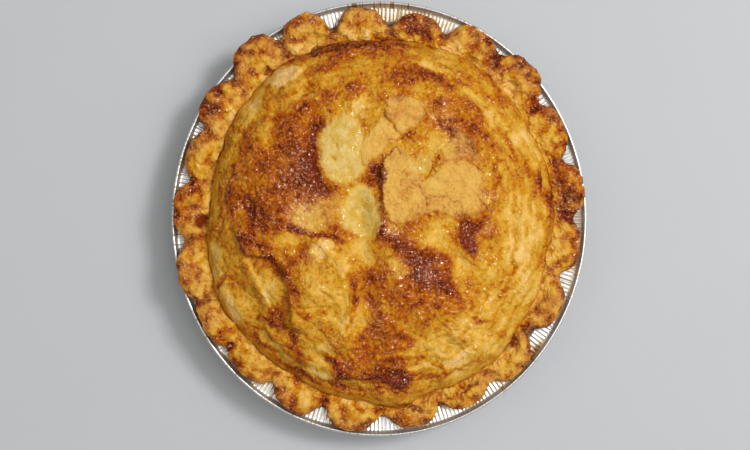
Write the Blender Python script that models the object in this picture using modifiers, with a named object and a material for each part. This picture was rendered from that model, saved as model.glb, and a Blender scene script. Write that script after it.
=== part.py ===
"""Apple pie baked in its own pleated foil tin.

The pie is one solid: a tall uneven lid, a thick fluted border that lies on the tin's
flange, and the body that fills the tin. The tin is a thin pleated shell. Both are worked
out as round shapes and then squeezed a little oval, as a soft foil tin is.
Metres, +Z up, origin on the table under the middle of the tin.
"""

import math

import bpy
import numpy as np
from mathutils import Vector, noise

MM = 0.001

# Foil tin, a common 9 inch size: radii and heights of the round tin before the squeeze
TIN_RADIUS = 122.25 * MM
TIN_DEPTH = 32.0 * MM
FLANGE_INNER = 110.6 * MM
FLANGE_OUTER = 118.9 * MM
BASE_RADIUS = 86.0 * MM
PANEL_RADIUS = 70.0 * MM
PANEL_RISE = 1.0 * MM
FOOT_RADIUS = 88.5 * MM
FOOT_HEIGHT = 1.8 * MM
BEAD_RISE = 2.2 * MM
FOIL = 0.35 * MM
PLEATS = 60
WALL_PLEAT = 0.45 * MM
FLANGE_PLEAT = 0.22 * MM
SQUEEZE = 0.0236

# Pie
GAP = 0.3 * MM
WALL_GAP = 1.4 * MM
GROOVE_RADIUS = 101.6 * MM
GROOVE_FLOOR = TIN_DEPTH + 2.5 * MM
LID_RISE = 33.0 * MM
LID_INSET = 0.4 * MM
LID_FULLNESS = 2.55
LID_ROUNDNESS = 1.65
LEFT_FULLNESS = 0.6
LEFT_ROUNDNESS = 0.4
BORDER_MIDDLE = TIN_DEPTH + 4.2 * MM
BORDER_UP = 5.6 * MM
BORDER_DOWN = 3.6 * MM
BORDER_CREST = BORDER_MIDDLE + BORDER_UP
NOTCH_DROP = 1.8 * MM
NARROW_LIFT = 0.8 * MM
CREST_OUTWARD = 0.28
SECTION_WIDTH = 0.8
SECTION_RISE = 0.85
NARROWEST = 8.0 * MM
WIDEST = 24.0 * MM
OVERHANG_START = 115.4 * MM
OVERHANG_END = 118.8 * MM
OVERHANG_LIFT = 3.1 * MM
COLUMNS = 252
LID_ROWS = 34
PIE_SHARE_KEPT = 0.31

# Each flute of the border, going round from +X: angle of the lobe in degrees, how far the
# lobe and the notch after it reach from the middle in mm, then the thumb print on the
# lobe's inner side: its angle in degrees and its depth in mm
FLUTES = (
    (8.5, 121.4, 113.7, 5.0, 1.5),
    (26.0, 120.4, 114.9, 21.0, 1.5),
    (43.5, 124.1, 116.7, 42.5, 3.5),
    (61.5, 121.0, 110.6, 60.0, 3.0),
    (77.5, 116.7, 108.4, 73.0, 1.5),
    (96.0, 118.6, 109.4, 91.0, 1.0),
    (112.5, 123.4, 116.7, 111.0, 3.5),
    (128.0, 126.3, 117.4, 128.0, 3.5),
    (147.0, 122.9, 114.9, 151.0, 2.0),
    (161.0, 118.6, 113.7, 162.5, 4.0),
    (177.0, 121.0, 114.9, 181.5, 4.5),
    (195.5, 122.2, 118.0, 199.0, 1.5),
    (211.0, 119.8, 116.1, 205.0, 3.0),
    (227.0, 118.2, 112.0, 222.0, 1.5),
    (244.0, 119.2, 110.4, 246.0, 2.0),
    (261.0, 119.8, 110.0, 265.0, 2.5),
    (281.0, 118.0, 110.6, 284.0, 2.5),
    (297.5, 117.4, 112.5, 299.0, 3.0),
    (314.5, 119.2, 108.8, 317.5, 3.0),
    (334.0, 118.0, 111.2, 336.0, 1.5),
    (352.0, 118.6, 114.3, 357.0, 1.5),
)
NOTCH_SHARPNESS = 1.35
PRINT_WIDTH = 2.6
PRINT_REACH = 5.0

# Where the lid's edge swells or draws in: angle in degrees, mm, half width in degrees
EDGE_SWELLS = (
    (95.0, -1.8, 14.0),
    (128.0, 1.8, 11.0),
    (168.0, -2.6, 15.0),
    (203.0, 1.8, 14.0),
    (277.0, 4.6, 7.0),
    (306.0, 1.8, 12.0),
    (350.0, -1.4, 9.0),
)
# Small waves of the lid's edge: how many go round, mm, phase
EDGE_WAVES = ((7, 0.6, 1.0), (17, 0.45, 2.4), (43, 0.3, 0.7))

# Where the groove is shallower or deeper: angle in degrees, rise in mm, half width in degrees
GROOVE_RISES = (
    (8.0, 4.6, 26.0),
    (334.0, 3.8, 20.0),
    (304.0, 4.6, 18.0),
    (52.0, 3.6, 20.0),
    (90.0, 2.0, 14.0),
    (268.0, 3.0, 14.0),
    (135.0, -0.6, 18.0),
    (205.0, -0.8, 30.0),
)

# The places below are where a lens this high over the flange sees them, straight above
LENS_HEIGHT = 0.90
# Broad rises and hollows of the lid, in mm: x, y, half length, half width, turn in degrees
# of the length from +X, rise
SWELLS = (
    (-60.0, 24.0, 42.0, 25.0, 80.0, 3.4),
    (-34.0, -40.0, 31.0, 18.0, 82.0, 4.4),
    (22.0, -32.0, 32.0, 19.0, -40.0, 4.0),
    (34.0, 20.0, 34.0, 26.0, 20.0, 2.6),
    (-21.0, 40.0, 19.0, 12.0, 80.0, 3.0),
    (51.0, 50.0, 30.0, 12.0, -50.0, 3.0),
    (0.0, 76.0, 32.0, 14.0, 0.0, 1.6),
    (-11.0, 5.0, 18.0, 9.0, 100.0, -5.6),
    (-8.0, -38.0, 40.0, 8.0, 93.0, -5.0),
    (-4.0, 25.0, 9.0, 5.0, 70.0, -2.4),
    (26.0, 33.0, 10.0, 6.0, 60.0, -3.0),
    (-73.0, -46.0, 34.0, 12.0, -52.0, -4.5),
    (60.0, -24.0, 22.0, 13.0, 60.0, -3.0),
    (38.0, -18.0, 20.0, 6.0, -52.0, -2.6),
    (45.0, -72.0, 28.0, 15.0, 30.0, 1.6),
    (-50.0, 76.0, 26.0, 9.0, 40.0, 1.4),
)

# Edges of folds and thick flakes: rise in mm, how far back it dies away in mm, then the
# edge's corners in mm. The raised side is on the left hand going along the corners
FOLDS = (
    (5.0, 17.0, ((-82, -8), (-76, -21), (-63, -22), (-57, -28), (-54, -38), (-51, -50), (-50, -59))),
    (2.0, 9.0, ((-61, -51), (-66, -42), (-70, -33), (-77, -23))),
    (3.6, 13.0, ((-18, -70), (-20, -61), (-18, -55), (-15, -50),
        (-17, -42), (-17, -34), (-24, -23), (-34, -14))),
    (2.4, 12.0, ((1, 34), (0, 18), (1, 4), (-3, -9))),
    (1.4, 9.0, ((-9, 31), (0, 38), (5, 47), (8, 58))),
    (1.2, 8.0, ((3, 61), (9, 51), (16, 48), (23, 53), (27, 64))),
    (2.4, 15.0, ((74, 10), (73, 26), (71, 42), (66, 55), (60, 64), (52, 69), (40, 74), (24, 88))),
    (1.3, 9.0, ((36, 92), (18, 98), (-8, 100), (-32, 95), (-54, 86))),
    (1.6, 9.0, ((-62, -66), (-48, -80), (-24, -90), (-2, -90), (14, -97))),
    (1.8, 9.0, ((50, 4), (44, -10), (48, -22), (56, -27))),
)
# Soft creases of the lid: depth in mm, half width in mm, corners in mm
CREASES = (
    (2.0, 3.6, ((-35, 57), (-38, 45), (-40, 31), (-37, 19), (-30, 13))),
    (1.6, 3.0, ((-74, 55), (-60, 62), (-50, 67), (-41, 74))),
    (1.4, 3.0, ((-70, -62), (-54, -82), (-32, -93), (-8, -97))),
    (1.4, 2.6, ((-78, 12), (-74, 0), (-70, -10))),
)
FOLD_SOFTNESS = 1.8
FOLD_END = 4.0
SWELL_FALLOFF = 1.4
# Shares of the way to the lid's edge where its swells and its folds begin to die away
SWELLS_END = 0.86
FOLDS_END = 0.94

# Uneven relief of lid and border: wavelength and depth in mm
RELIEF = ((30.0, 1.8), (11.0, 1.0))
BORDER_RELIEF = ((14.0, 0.7), (5.0, 0.5))


def material(name, colour, roughness, metallic=0.0):
    """A plain Principled material."""
    made = bpy.data.materials.new(name)
    made.use_nodes = True
    shader = made.node_tree.nodes["Principled BSDF"]
    shader.inputs["Base Color"].default_value = (*colour, 1.0)
    shader.inputs["Roughness"].default_value = roughness
    shader.inputs["Metallic"].default_value = metallic
    return made


def smoothstep(low, high, value):
    """0 below low, 1 above high, and a smooth rise between them."""
    share = np.clip((value - low) / (high - low), 0.0, 1.0)
    return share * share * (3.0 - 2.0 * share)


def turned(name, profile, steps):
    """A mesh turned about +Z from (radius, height) points, with a Screw modifier applied."""
    mesh = bpy.data.meshes.new(name)
    points = [(radius, 0.0, height) for radius, height in profile]
    edges = [(i, i + 1) for i in range(len(points) - 1)]
    mesh.from_pydata(points, edges, [])
    blank = bpy.data.objects.new(name, mesh)
    bpy.context.scene.collection.objects.link(blank)
    screw = blank.modifiers.new("Turn", "SCREW")
    screw.steps = steps
    screw.render_steps = steps
    screw.use_merge_vertices = True
    screw.merge_threshold = 0.00001
    graph = bpy.context.evaluated_depsgraph_get()
    done = bpy.data.meshes.new_from_object(blank.evaluated_get(graph))
    bpy.data.objects.remove(blank)
    done.name = name
    return done


def vertices_of(mesh):
    """The mesh's vertices as an array of points."""
    points = np.empty(len(mesh.vertices) * 3)
    mesh.vertices.foreach_get("co", points)
    return points.reshape(-1, 3)


def set_vertices(mesh, radius, angle, height):
    """Puts the vertices at these round coordinates, squeezed a little oval."""
    points = np.column_stack((
        radius * np.cos(angle) * (1.0 - SQUEEZE),
        radius * np.sin(angle) * (1.0 + SQUEEZE),
        height,
    ))
    mesh.vertices.foreach_set("co", points.ravel())
    mesh.update()


def tin_profile():
    """The foil's outer line from the bead's curl, over the rim and down to the middle of the base."""
    bead_top = TIN_DEPTH + BEAD_RISE
    return [
        (TIN_RADIUS - 1.5 * MM, TIN_DEPTH + 0.3 * MM),
        (TIN_RADIUS - FOIL, TIN_DEPTH + 0.9 * MM),
        (TIN_RADIUS - 0.7 * MM, bead_top - 0.4 * MM),
        (TIN_RADIUS - 1.8 * MM, bead_top - FOIL),
        (FLANGE_OUTER + 0.5 * MM, TIN_DEPTH - 0.3 * MM),
        (FLANGE_OUTER, TIN_DEPTH - 0.45 * MM),
        (FLANGE_INNER, TIN_DEPTH - 0.55 * MM),
        (FLANGE_INNER - 0.9 * MM, TIN_DEPTH - 1.6 * MM),
        (FOOT_RADIUS, FOOT_HEIGHT),
        (BASE_RADIUS, 0.0),
        (PANEL_RADIUS + 2.0 * MM, 0.0),
        (PANEL_RADIUS, PANEL_RISE),
        (0.0, PANEL_RISE),
    ]


def build_tin(finish):
    """The pleated foil tin, a shell with Solidify."""
    mesh = turned("foil_tin", tin_profile(), 2 * PLEATS)
    points = vertices_of(mesh)
    radius = np.hypot(points[:, 0], points[:, 1])
    angle = np.arctan2(points[:, 1], points[:, 0])
    height = points[:, 2]
    wave = np.cos(PLEATS * angle)
    on_wall = smoothstep(0.0, 6.0 * MM, height) * smoothstep(FLANGE_INNER, FLANGE_INNER - 2.0 * MM, radius)
    on_flange = smoothstep(FLANGE_INNER - 1.0 * MM, FLANGE_INNER, radius)
    on_flange *= smoothstep(TIN_RADIUS - 1.5 * MM, FLANGE_OUTER, radius)
    set_vertices(
        mesh,
        radius + wave * on_wall * WALL_PLEAT,
        angle,
        height + wave * on_flange * FLANGE_PLEAT,
    )
    tin = bpy.data.objects.new("foil_tin", mesh)
    skin = tin.modifiers.new("Foil", "SOLIDIFY")
    skin.thickness = FOIL
    skin.offset = -1.0
    mesh.materials.append(finish)
    return tin


def around(angle, table):
    """Sums bumps given as (degrees, mm, half width in degrees), in metres, at each angle."""
    degrees = np.degrees(angle) % 360.0
    total = np.zeros_like(angle)
    for centre, rise, half_width in table:
        away = (degrees - centre + 180.0) % 360.0 - 180.0
        total += rise * MM * np.exp(-((away / half_width) ** 2))
    return total


def flutes_at(angle):
    """Reach of the border's outer edge, and 1 on a lobe down to 0 in a notch, at each angle."""
    degrees = (np.degrees(angle) - FLUTES[0][0]) % 360.0
    reach = np.empty_like(angle)
    fullness = np.empty_like(angle)
    for i, (start, lobe, notch, _, _) in enumerate(FLUTES):
        later = FLUTES[(i + 1) % len(FLUTES)]
        span = (later[0] - start) % 360.0
        share = (degrees - (start - FLUTES[0][0])) / span
        here = (share >= 0.0) & (share < 1.0)
        near_lobe = np.abs(2.0 * share[here] - 1.0)
        full = 0.5 + 0.5 * np.cos(math.pi * np.power(1.0 - near_lobe, NOTCH_SHARPNESS))
        top = np.where(share[here] < 0.5, lobe, later[1])
        reach[here] = (notch + (top - notch) * full) * MM
        fullness[here] = full
    return reach, fullness


def lid_edge(angle):
    """Radius of the groove between lid and border."""
    radius = GROOVE_RADIUS + around(angle, EDGE_SWELLS)
    for count, depth, phase in EDGE_WAVES:
        radius = radius + depth * MM * np.sin(count * angle + phase)
    return radius


def groove_floor(angle):
    """Height of the bottom of the groove."""
    return GROOVE_FLOOR + around(angle, GROOVE_RISES)


def groove_depth(angle):
    """Depth of the groove under the border's crest, as a share of its usual depth."""
    return (BORDER_CREST - groove_floor(angle)) / (BORDER_CREST - GROOVE_FLOOR)


def as_seen(x, y):
    """Where a lens above sees a point of the lid: raised points look further out."""
    share = np.clip(np.hypot(x, y) / GROOVE_RADIUS, 0.0, 1.0)
    spread = 1.0 + LID_RISE * (1.0 - share**LID_FULLNESS) / LENS_HEIGHT
    return x * spread * (1.0 - SQUEEZE), y * spread * (1.0 + SQUEEZE)


def uneven(x, y, layers, shift):
    """Smooth noise in layers of (wavelength, depth) in mm, at points in metres, in metres."""
    total = np.zeros(len(x))
    for wavelength, depth in layers:
        step = wavelength * MM
        total += [
            depth * MM * noise.noise(Vector((a / step, b / step, shift))) for a, b in zip(x, y)
        ]
    return total


def swells(x, y):
    """Broad rises and hollows of the lid, in metres, at points in metres."""
    total = np.zeros(len(x))
    for centre_x, centre_y, length, width, turn, rise in SWELLS:
        cosine = math.cos(math.radians(turn))
        sine = math.sin(math.radians(turn))
        right = x / MM - centre_x
        up = y / MM - centre_y
        along = (right * cosine + up * sine) / length
        across = (up * cosine - right * sine) / width
        total += rise * MM * np.exp(-SWELL_FALLOFF * (along**2 + across**2))
    return total


def edge_offsets(x, y, corners):
    """Distance in mm aside from a line of corners, positive on its left, and past its ends."""
    best = np.full(len(x), 1e9)
    signed = np.zeros(len(x))
    beyond = np.zeros(len(x))
    last = len(corners) - 2
    for i in range(last + 1):
        (ax, ay), (bx, by) = corners[i], corners[i + 1]
        run_x, run_y = bx - ax, by - ay
        length = math.hypot(run_x, run_y)
        right, up = x / MM - ax, y / MM - ay
        along = (right * run_x + up * run_y) / length
        across = (run_x * up - run_y * right) / length
        past = along - np.clip(along, 0.0, length)
        away = np.hypot(past, across)
        closer = away < best
        best = np.where(closer, away, best)
        at_end = ((i == 0) & (past < 0.0)) | ((i == last) & (past > 0.0))
        signed = np.where(closer, np.where(at_end, across, np.sign(across) * away), signed)
        beyond = np.where(closer, np.where(at_end, np.abs(past), 0.0), beyond)
    return signed, beyond


def folds(x, y):
    """Raised edges of folds and thick flakes, less the creases, in metres."""
    total = np.zeros(len(x))
    for rise, reach, corners in FOLDS:
        signed, beyond = edge_offsets(x, y, corners)
        lift = smoothstep(-FOLD_SOFTNESS, FOLD_SOFTNESS, signed)
        lift *= np.exp(-np.maximum(signed, 0.0) / reach) * np.exp(-((beyond / FOLD_END) ** 2))
        total += rise * MM * lift
    for depth, half_width, corners in CREASES:
        signed, beyond = edge_offsets(x, y, corners)
        cut = np.exp(-((signed / half_width) ** 2)) * np.exp(-((beyond / FOLD_END) ** 2))
        total -= depth * MM * cut
    return total


def lid_point(share, angle):
    """Radius and height of the lid at a share of the way from its middle to its edge."""
    radius = share * (lid_edge(angle) - LID_INSET)
    leftness = 0.5 - 0.5 * np.cos(angle)
    fullness = LID_FULLNESS + LEFT_FULLNESS * leftness
    roundness = LID_ROUNDNESS + LEFT_ROUNDNESS * leftness
    floor = groove_floor(angle)
    top = GROOVE_FLOOR + LID_RISE
    height = floor + (top - floor) * np.power(1.0 - share**fullness, 1.0 / roundness)
    x = radius * np.cos(angle)
    y = radius * np.sin(angle)
    seen_x, seen_y = as_seen(x, y)
    inside = smoothstep(1.0, SWELLS_END, share)
    height += inside * (swells(seen_x, seen_y) + uneven(x, y, RELIEF, 3.0))
    height += smoothstep(1.0, FOLDS_END, share) * folds(seen_x, seen_y)
    return radius, height


def thumb_prints(radius, angle):
    """How deep the thumb prints on the border's inner side are, in metres."""
    degrees = np.degrees(angle) % 360.0
    total = np.zeros_like(radius)
    for _, _, _, centre, depth in FLUTES:
        away = (degrees - centre + 180.0) % 360.0 - 180.0
        back = (radius - lid_edge(angle)) / MM - 1.0
        total += depth * MM * np.exp(-((away / PRINT_WIDTH) ** 2) - (back / PRINT_REACH) ** 2)
    return total


def underside(radius):
    """Lowest height of the border over the flange and the bead."""
    lift = np.clip((radius - OVERHANG_START) / (OVERHANG_END - OVERHANG_START), 0.0, 1.0)
    return TIN_DEPTH + GAP + OVERHANG_LIFT * lift


def border_point(turn, angle):
    """Radius and height of the border's section at a turn in degrees, 0 outermost and 180 innermost."""
    inner = lid_edge(angle)
    outer, fullness = flutes_at(angle)
    cosine = math.cos(math.radians(turn))
    sine = math.sin(math.radians(turn))
    middle = (inner + outer) / 2.0
    half = (outer - inner) / 2.0
    radius = middle + half * math.copysign(abs(cosine) ** SECTION_WIDTH, cosine)
    wide = (outer - inner - NARROWEST) / (WIDEST - NARROWEST)
    radius = radius + CREST_OUTWARD * half * wide * max(sine, 0.0) ** 2
    rise = BORDER_UP if sine > 0.0 else BORDER_DOWN
    height = BORDER_MIDDLE + rise * math.copysign(abs(sine) ** SECTION_RISE, sine)
    if cosine < 0.0:
        height = BORDER_CREST - (BORDER_CREST - height) * groove_depth(angle)
    height -= max(sine, 0.0) * NOTCH_DROP * (1.0 - fullness)
    height += max(sine, 0.0) * NARROW_LIFT * (1.0 - wide)
    upper = smoothstep(-0.1, 0.7, np.array(sine))
    height -= upper * thumb_prints(radius, angle)
    x = radius * np.cos(angle)
    y = radius * np.sin(angle)
    height += upper * uneven(x, y, BORDER_RELIEF, 11.0)
    return radius, np.maximum(height, underside(radius))


def overhang_point(start, inset, angle):
    """A point under the border, where it rests over the flange."""
    radius = np.minimum(start, flutes_at(angle)[0] - inset)
    return radius, underside(radius)


def fixed_point(radius, height, angle):
    """The same radius and height all the way round."""
    return radius + 0.0 * angle, height + 0.0 * angle


def pie_stations():
    """The pie's section from the top of the lid to the middle of its base, as functions of the angle."""
    shares = np.linspace(0.0, 1.0, LID_ROWS)
    stations = [lambda angle, share=share: lid_point(share, angle) for share in shares]
    for turn in (166, 146, 126, 106, 88, 70, 52, 34, 16, -6, -30):
        stations.append(lambda angle, turn=turn: border_point(turn, angle))
    for start, inset in ((OVERHANG_END, 2.2 * MM), (OVERHANG_START, 3.4 * MM)):
        stations.append(lambda angle, a=start, b=inset: overhang_point(a, b, angle))
    shoulder = FLANGE_INNER - 0.9 * MM - WALL_GAP
    for radius, height in (
        (shoulder, TIN_DEPTH + GAP),
        (shoulder, TIN_DEPTH - 1.6 * MM),
        (FOOT_RADIUS - WALL_GAP, FOOT_HEIGHT + 0.8 * MM),
        (FOOT_RADIUS - 4.0 * MM, PANEL_RISE + FOIL + GAP),
        (0.0, PANEL_RISE + FOIL + GAP),
    ):
        stations.append(lambda angle, a=radius, b=height: fixed_point(a, b, angle))
    return stations


def build_pie(finish):
    """The pie as one solid: a turned blank whose every ring is then drawn out to its own shape."""
    stations = pie_stations()
    blank = [(0.0, -1.0 * MM)]
    blank += [(i * MM, -float(i + 1) * MM) for i in range(1, len(stations) - 1)]
    blank += [(0.0, -float(len(stations)) * MM)]
    mesh = turned("apple_pie", blank, COLUMNS)
    points = vertices_of(mesh)
    angle = np.arctan2(points[:, 1], points[:, 0])
    ring = np.rint(-points[:, 2] / MM).astype(int) - 1
    radius = np.zeros(len(points))
    height = np.zeros(len(points))
    for i, station in enumerate(stations):
        here = ring == i
        radius[here], height[here] = station(angle[here])
    set_vertices(mesh, radius, angle, height)
    pie = bpy.data.objects.new("apple_pie", mesh)
    fewer = pie.modifiers.new("Fewer", "DECIMATE")
    fewer.decimate_type = "COLLAPSE"
    fewer.ratio = PIE_SHARE_KEPT
    mesh.materials.append(finish)
    return pie


def main():
    for old in list(bpy.data.objects):
        bpy.data.objects.remove(old)
    collection = bpy.data.collections.new("apple pie in foil tin")
    bpy.context.scene.collection.children.link(collection)
    crust = material("baked crust", (0.56, 0.27, 0.06), 0.55)
    foil = material("aluminium foil", (0.80, 0.80, 0.79), 0.32, 1.0)
    for made in (build_pie(crust), build_tin(foil)):
        collection.objects.link(made)
        made.data.shade_smooth()
        made.data.set_sharp_from_angle(angle=math.radians(50.0))


main()
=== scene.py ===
"""Looks of an apple pie in its foil tin, laid out as a Blender add-on and run as a script.

Lengths are metres, and the tables are in millimetres and degrees. Places on the pie are
where a lens high over the tin sees them on the plane of the tin's flange, with +Y up in
the view.
"""

import math

import bpy
import numpy as np
from bpy.props import FloatProperty, FloatVectorProperty, IntProperty, PointerProperty
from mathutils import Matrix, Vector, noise


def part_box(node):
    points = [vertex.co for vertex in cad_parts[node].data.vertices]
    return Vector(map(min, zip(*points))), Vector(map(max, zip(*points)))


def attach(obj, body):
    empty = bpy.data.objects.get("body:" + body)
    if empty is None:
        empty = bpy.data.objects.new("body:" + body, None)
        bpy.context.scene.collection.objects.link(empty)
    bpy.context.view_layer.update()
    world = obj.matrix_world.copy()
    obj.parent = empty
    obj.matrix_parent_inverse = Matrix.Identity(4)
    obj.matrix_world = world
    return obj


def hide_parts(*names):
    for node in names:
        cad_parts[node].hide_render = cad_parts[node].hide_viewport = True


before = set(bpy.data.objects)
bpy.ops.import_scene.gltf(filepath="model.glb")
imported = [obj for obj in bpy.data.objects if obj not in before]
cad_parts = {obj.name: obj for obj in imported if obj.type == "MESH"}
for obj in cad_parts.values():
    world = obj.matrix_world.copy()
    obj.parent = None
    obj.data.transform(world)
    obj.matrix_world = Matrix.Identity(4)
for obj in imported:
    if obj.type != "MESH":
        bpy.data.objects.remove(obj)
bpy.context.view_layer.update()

bl_info = {
    "name": "Apple pie in a foil tin",
    "version": (1, 0, 0),
    "blender": (4, 5, 0),
    "location": "3D View > Sidebar > Pie",
    "description": "Makes a baked double-crust apple pie in its pleated foil tin",
    "category": "Object",
}

MM = 0.001
FULL_TURN = 2.0 * math.pi
TIN_LOW, TIN_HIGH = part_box("foil_tin")
TIN_WIDTH = TIN_HIGH.x - TIN_LOW.x
TIN_LENGTH = TIN_HIGH.y - TIN_LOW.y
TIN_RADIUS = (TIN_WIDTH + TIN_LENGTH) / 4.0
SQUEEZE = (TIN_LENGTH - TIN_WIDTH) / (TIN_LENGTH + TIN_WIDTH)
LENS_HEIGHT = 0.90

# Tin
TIN_DEPTH = 32.0 * MM
FLANGE_INNER = 110.6 * MM
FLANGE_OUTER = 118.9 * MM
BASE_RADIUS = 86.0 * MM
PANEL_RADIUS = 70.0 * MM
PANEL_RISE = 1.0 * MM
FOOT_RADIUS = 88.5 * MM
FOOT_HEIGHT = 1.8 * MM
FOIL = 0.35 * MM
SKIN = 0.22 * MM
GAP = 0.3 * MM
WALL_GAP = 1.4 * MM
WALL_TOP = FLANGE_INNER - 0.9 * MM
WALL_HEIGHT = TIN_DEPTH - 1.6 * MM
BEAD_TOP = TIN_DEPTH + 2.2 * MM
FLANGE_LOW = TIN_DEPTH - 0.55 * MM
PIE_FLOOR = PANEL_RISE + FOIL + GAP
WALL_SHARES = (0.12, 0.35, 0.6, 0.82, 0.94)
BEAD_TURNS = (-60.0, -25.0, 10.0, 45.0, 80.0, 115.0, 150.0, 190.0)

# Lid and border
GROOVE_RADIUS = 101.6 * MM
GROOVE_FLOOR = TIN_DEPTH + 2.5 * MM
LID_RISE = 33.0 * MM
LID_TUCK = 0.5 * MM
LID_TRIM = 1.2 * MM
LID_FULLNESS = 2.55
LID_ROUNDNESS = 1.65
LEFT_FULLNESS = 0.6
LEFT_ROUNDNESS = 0.4
BORDER_MIDDLE = TIN_DEPTH + 4.2 * MM
BORDER_UP = 5.6 * MM
BORDER_DOWN = 3.6 * MM
BORDER_CREST = BORDER_MIDDLE + BORDER_UP
NOTCH_DROP = 1.8 * MM
NARROW_LIFT = 0.8 * MM
CREST_OUTWARD = 0.28
SECTION_WIDTH = 0.8
SECTION_RISE = 0.85
NARROWEST = 8.0 * MM
WIDEST = 24.0 * MM
OVERHANG_START = 115.4 * MM
OVERHANG_END = 118.8 * MM
OVERHANG_LIFT = 3.1 * MM

# Studio: the lens over the pie, the sky's colour, then the soft lights: name, place, size
# and share of the key power
CAMERA_PLACE = (-2.4 * MM, -3.5 * MM, TIN_DEPTH + LENS_HEIGHT)
SKY_COLOUR = (1.0, 0.985, 0.955, 1.0)
LIGHTS = (
    ("key_light", (1.12, 0.26, 2.45), 1.9, 0.50),
    ("window_light", (1.25, 0.55, 2.35), 0.55, 0.50),
    ("fill_light", (-1.2, 0.2, 2.3), 1.7, 0.12),
)

# Fineness of the meshes
LID_RINGS = 168
LID_CELL = 0.62 * MM
BORDER_COLUMNS = 1320
BORDER_TURNS = 54
HIDDEN_COLUMNS = 240

# Each flute of the border: angle of the lobe, reach of the lobe and of the notch after it,
# then the thumb print on its inner side: angle and depth
FLUTES = (
    (8.5, 121.4, 113.7, 5, 1.5), (26, 120.4, 114.9, 21, 1.5), (43.5, 124.1, 116.7, 42.5, 3.5),
    (61.5, 121, 110.6, 60, 3), (77.5, 116.7, 108.4, 73, 1.5), (96, 118.6, 109.4, 91, 1),
    (112.5, 123.4, 116.7, 111, 3.5), (128, 126.3, 117.4, 128, 3.5), (147, 122.9, 114.9, 151, 2),
    (161, 118.6, 113.7, 162.5, 4), (177, 121, 114.9, 181.5, 4.5), (195.5, 122.2, 118, 199, 1.5),
    (211, 119.8, 116.1, 205, 3), (227, 118.2, 112, 222, 1.5), (244, 119.2, 110.4, 246, 2),
    (261, 119.8, 110, 265, 2.5), (281, 118, 110.6, 284, 2.5), (297.5, 117.4, 112.5, 299, 3),
    (314.5, 119.2, 108.8, 317.5, 3), (334, 118, 111.2, 336, 1.5), (352, 118.6, 114.3, 357, 1.5),
)
NOTCH_SHARPNESS = 1.9
PRINT_WIDTH = 2.6
PRINT_REACH = 5.0

# Where the lid's edge swells or draws in: angle, rise, half width
EDGE_SWELLS = (
    (95, -1.8, 14), (128, 1.8, 11), (168, -2.6, 15), (203, 1.8, 14), (277, 4.6, 7), (306, 1.8, 12),
    (350, -1.4, 9),
)
# Small waves of the lid's edge: how many go round, mm, phase
EDGE_WAVES = ((7, 0.6, 1.0), (17, 0.45, 2.4), (43, 0.3, 0.7))

# Where the groove is shallower or deeper: angle, rise, half width
GROOVE_RISES = (
    (8, 4.6, 26), (334, 3.8, 20), (304, 4.6, 18), (52, 3.6, 20), (90, 2, 14), (268, 3, 14),
    (135, -0.6, 18), (205, -0.8, 30),
)

# Broad rises and hollows of the lid: x, y, half length, half width, turn, rise
SWELLS = (
    (-60, 24, 42, 25, 80, 3.4), (-34, -40, 31, 18, 82, 4.4), (22, -32, 32, 19, -40, 4),
    (34, 20, 34, 26, 20, 2.6), (-21, 40, 19, 12, 80, 3), (51, 50, 30, 12, -50, 3),
    (0, 76, 32, 14, 0, 1.6), (-11, 5, 18, 9, 100, -5.6), (-8, -38, 40, 8, 93, -5),
    (-4, 25, 9, 5, 70, -2.4), (26, 33, 10, 6, 60, -3), (-73, -46, 34, 12, -52, -4.5),
    (60, -24, 22, 13, 60, -3), (38, -18, 20, 6, -52, -2.6), (45, -72, 28, 15, 30, 1.6),
    (-50, 76, 26, 9, 40, 1.4),
)

# Edges of folds and thick flakes: rise, how far back it dies away, corners. The raised
# side is on the left hand going along the corners
FOLDS = (
    (5, 17, ((-82, -8), (-76, -21), (-63, -22), (-57, -28), (-54, -38), (-51, -50), (-50, -59))),
    (2, 9, ((-61, -51), (-66, -42), (-70, -33), (-77, -23))),
    (3.6, 13,
        ((-18, -70), (-20, -61), (-18, -55), (-15, -50), (-17, -42), (-17, -34), (-24, -23),
        (-34, -14))),
    (2.4, 12, ((1, 34), (0, 18), (1, 4), (-3, -9))),
    (1.4, 9, ((-9, 31), (0, 38), (5, 47), (8, 58))),
    (1.2, 8, ((3, 61), (9, 51), (16, 48), (23, 53), (27, 64))),
    (2.4, 15, ((74, 10), (73, 26), (71, 42), (66, 55), (60, 64), (52, 69), (40, 74), (24, 88))),
    (1.3, 9, ((36, 92), (18, 98), (-8, 100), (-32, 95), (-54, 86))),
    (1.6, 9, ((-62, -66), (-48, -80), (-24, -90), (-2, -90), (14, -97))),
    (1.8, 9, ((50, 4), (44, -10), (48, -22), (56, -27))),
)

# Soft creases of the lid: depth, half width, corners
CREASES = (
    (2, 3.6, ((-35, 57), (-38, 45), (-40, 31), (-37, 19), (-30, 13))),
    (1.6, 3, ((-74, 55), (-60, 62), (-50, 67), (-41, 74))),
    (1.4, 3, ((-70, -62), (-54, -82), (-32, -93), (-8, -97))),
    (1.4, 2.6, ((-78, 12), (-74, 0), (-70, -10))),
)
FOLD_SOFTNESS = 1.0
FOLD_END = 4.0
SWELL_FALLOFF = 1.4

# Noise of lumps, blisters, grain and creases: their sizes, then their seeds
LID_NOISE = ((7.0, 2.8, 1.5, 3.6), (12.0, 60.0, 71.0, 44.0))
BORDER_NOISE = ((5.0, 2.4, 1.4, 3.4), (22.0, 62.0, 73.0, 46.0))
# How far lumps, blisters and creases rise or cut in
LID_LUMPS, LID_BLISTERS, LID_CREASES = 0.75 * MM, 2.2 * MM, 0.35 * MM
BORDER_LUMPS, BORDER_BLISTERS, BORDER_CREASES = 1.7 * MM, 1.8 * MM, 0.4 * MM
STREAK_RISE = 0.7 * MM
NOTCH_CUT = 0.6 * MM
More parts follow.
